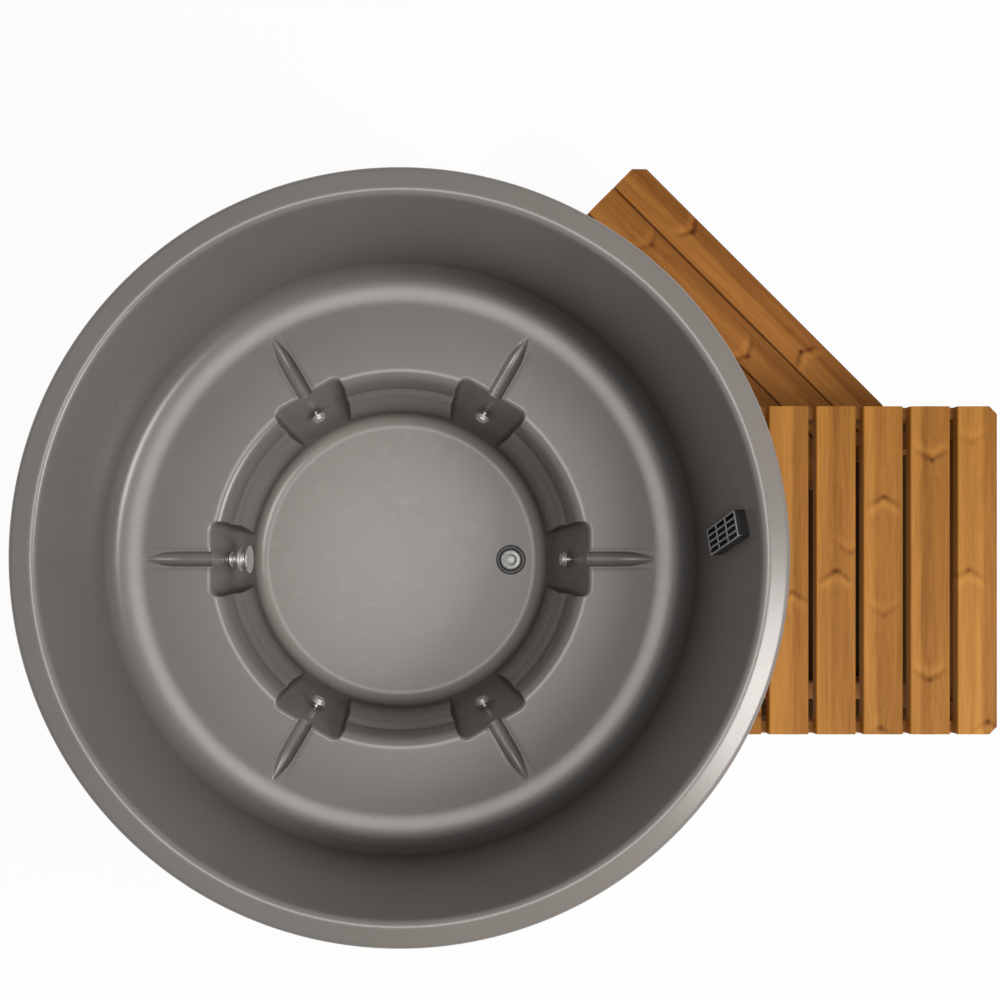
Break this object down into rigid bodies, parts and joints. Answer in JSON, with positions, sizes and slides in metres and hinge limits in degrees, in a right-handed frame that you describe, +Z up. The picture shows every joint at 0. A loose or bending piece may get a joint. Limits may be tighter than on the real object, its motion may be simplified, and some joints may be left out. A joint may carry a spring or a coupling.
{
  "type": "outdoor hot tub",
  "caption": "Round outdoor hot tub: moulded basin with a bench and foot well in a ring of timber boards, with two timber steps.",
  "frame": {"origin": "on the tub's axis at the ground", "axes": "+Z up, +X from the tub's axis towards the upper step, +Y to the left of +X"},
  "size_m": [2.304, 1.9915, 0.9477],
  "materials": {
    "basin_shell": "moulded polyethylene, warm grey, semi-gloss",
    "step_timber": "oiled softwood decking",
    "frame_timber": "planed softwood",
    "wall_timber": "oiled vertical boards",
    "rough_timber": "rough sawn timber and plywood",
    "foam": "closed-cell insulating foam",
    "band_steel": "stainless band",
    "bolt_steel": "zinc-plated steel",
    "bright_metal": "polished stainless steel",
    "drain_ring": "black moulded flange",
    "brass_body": "cast and turned brass",
    "handle_red": "dipped lever",
    "black_plastic": "black moulded plastic with a soft sheen",
    "pipe_plastic": "grey pipe plastic",
    "hose_plastic": "reinforced hose",
    "seal_rubber": "sealing rubber"
  },
  "bodies": {
    "tub": {"band_bolts": "band_steel", "band_nuts": "band_steel", "base_joists": "rough_timber", "base_panels": "rough_timber", "basin": "basin_shell", "bench_plates": "rough_timber", "bench_posts": "rough_timber", "cladding_boards": "wall_timber", "drain_back_nut": "pipe_plastic", "drain_flange": "drain_ring", "drain_pipe": "pipe_plastic", "drain_seal": "seal_rubber", "drain_sump": "pipe_plastic", "hose_tail": "brass_body", "insulation_jacket": "foam", "intake_back_nut": "pipe_plastic", "intake_elbow": "pipe_plastic", "intake_hose": "hose_plastic", "intake_outlet": "pipe_plastic", "intake_plate": "black_plastic", "intake_screws": "bolt_steel", "lower_band": "band_steel", "nozzle_back_nut": "pipe_plastic", "nozzle_seal": "seal_rubber", "platform_bearers": "frame_timber", "platform_bolts": "bolt_steel", "platform_legs": "frame_timber", "platform_rails": "frame_timber", "platform_slat_1": "step_timber", "platform_slat_2": "step_timber", "platform_slat_3": "step_timber", "platform_slat_4": "step_timber", "platform_slat_5": "step_timber", "platform_slat_6": "step_timber", "platform_wall_rail": "frame_timber", "pocket_back_nuts": "bright_metal", "pocket_nuts": "bright_metal", "pocket_seals": "seal_rubber", "pocket_studs": "bright_metal", "pocket_washers": "bright_metal", "return_flange": "pipe_plastic", "return_hose": "hose_plastic", "return_nozzle": "bright_metal", "step_bearers": "frame_timber", "step_board_1": "step_timber", "step_board_2": "step_timber", "step_board_3": "step_timber", "step_front_rail": "frame_timber", "step_legs": "frame_timber", "step_screws": "bolt_steel", "top_hoop": "rough_timber", "upper_band": "band_steel", "valve_body": "brass_body"},
    "drain_plug": {"drain_plug": "bright_metal", "plug_ring": "seal_rubber"},
    "drain_valve": {"valve_ball": "bright_metal", "valve_handle": "handle_red", "handle_nut": "bolt_steel"},
    "strainer": {"intake_strainer": "black_plastic"},
    "nozzle_cap": {"nozzle_cap": "bright_metal"}
  },
  "joints": [
    {"name": "plug_lift", "type": "slide", "parent": "tub", "child": "drain_plug", "axis": [0, 0, 1], "range_m": [0, 0.06]},
    {"name": "valve_turn", "type": "hinge", "parent": "tub", "child": "drain_valve", "pos_m": [0.322, -0.852, 0.027], "axis": [0, 0, -1], "range_deg": [0, 90]},
    {"name": "strainer_pull", "type": "slide", "parent": "tub", "child": "strainer", "axis": [-0.9907, -0.0762, 0.1126], "range_m": [0, 0.05]},
    {"name": "cap_turn", "type": "hinge", "parent": "tub", "child": "nozzle_cap", "pos_m": [-0.45867, 0, 0.325], "axis": [0.9912, 0, 0.1322], "range_deg": [0, 180]}
  ]
}
